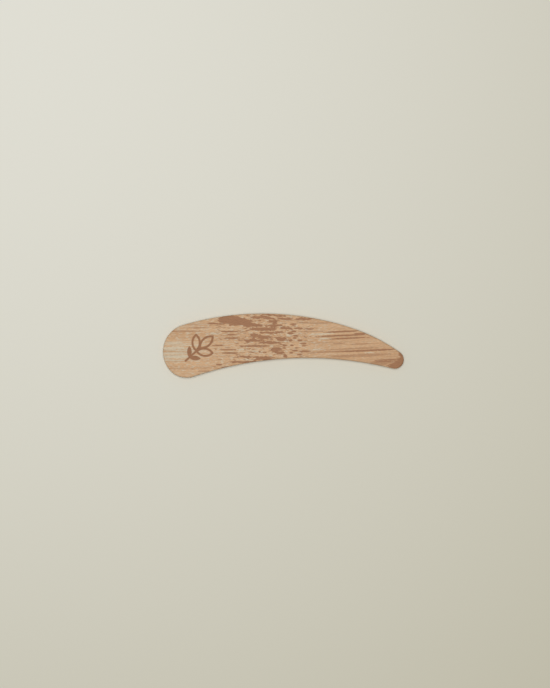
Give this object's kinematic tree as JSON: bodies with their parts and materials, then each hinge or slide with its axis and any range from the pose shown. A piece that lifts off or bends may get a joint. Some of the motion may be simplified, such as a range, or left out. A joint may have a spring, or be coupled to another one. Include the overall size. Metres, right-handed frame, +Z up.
{
  "type": "bone folder",
  "caption": "Curved flat bamboo folding and burnishing blade with a wide rounded end, a narrow rounded point, sanded edges and an engraved leaf sprig.",
  "frame": {"origin": "on the flat underside, below the centre of the blade's bounding box", "axes": "+Z up, normal to the flat underside, through the thickness; +X along the blade from the wide end to the point; +Y across the blade from the hollow edge to the humped edge"},
  "size_m": [0.064, 0.017, 0.0028],
  "materials": {
    "bamboo": "satin, fine-sanded caramel bamboo with a faint wax or oil sheen"
  },
  "bodies": {
    "root": {"folder_blade": "bamboo"}
  },
  "joints": []
}
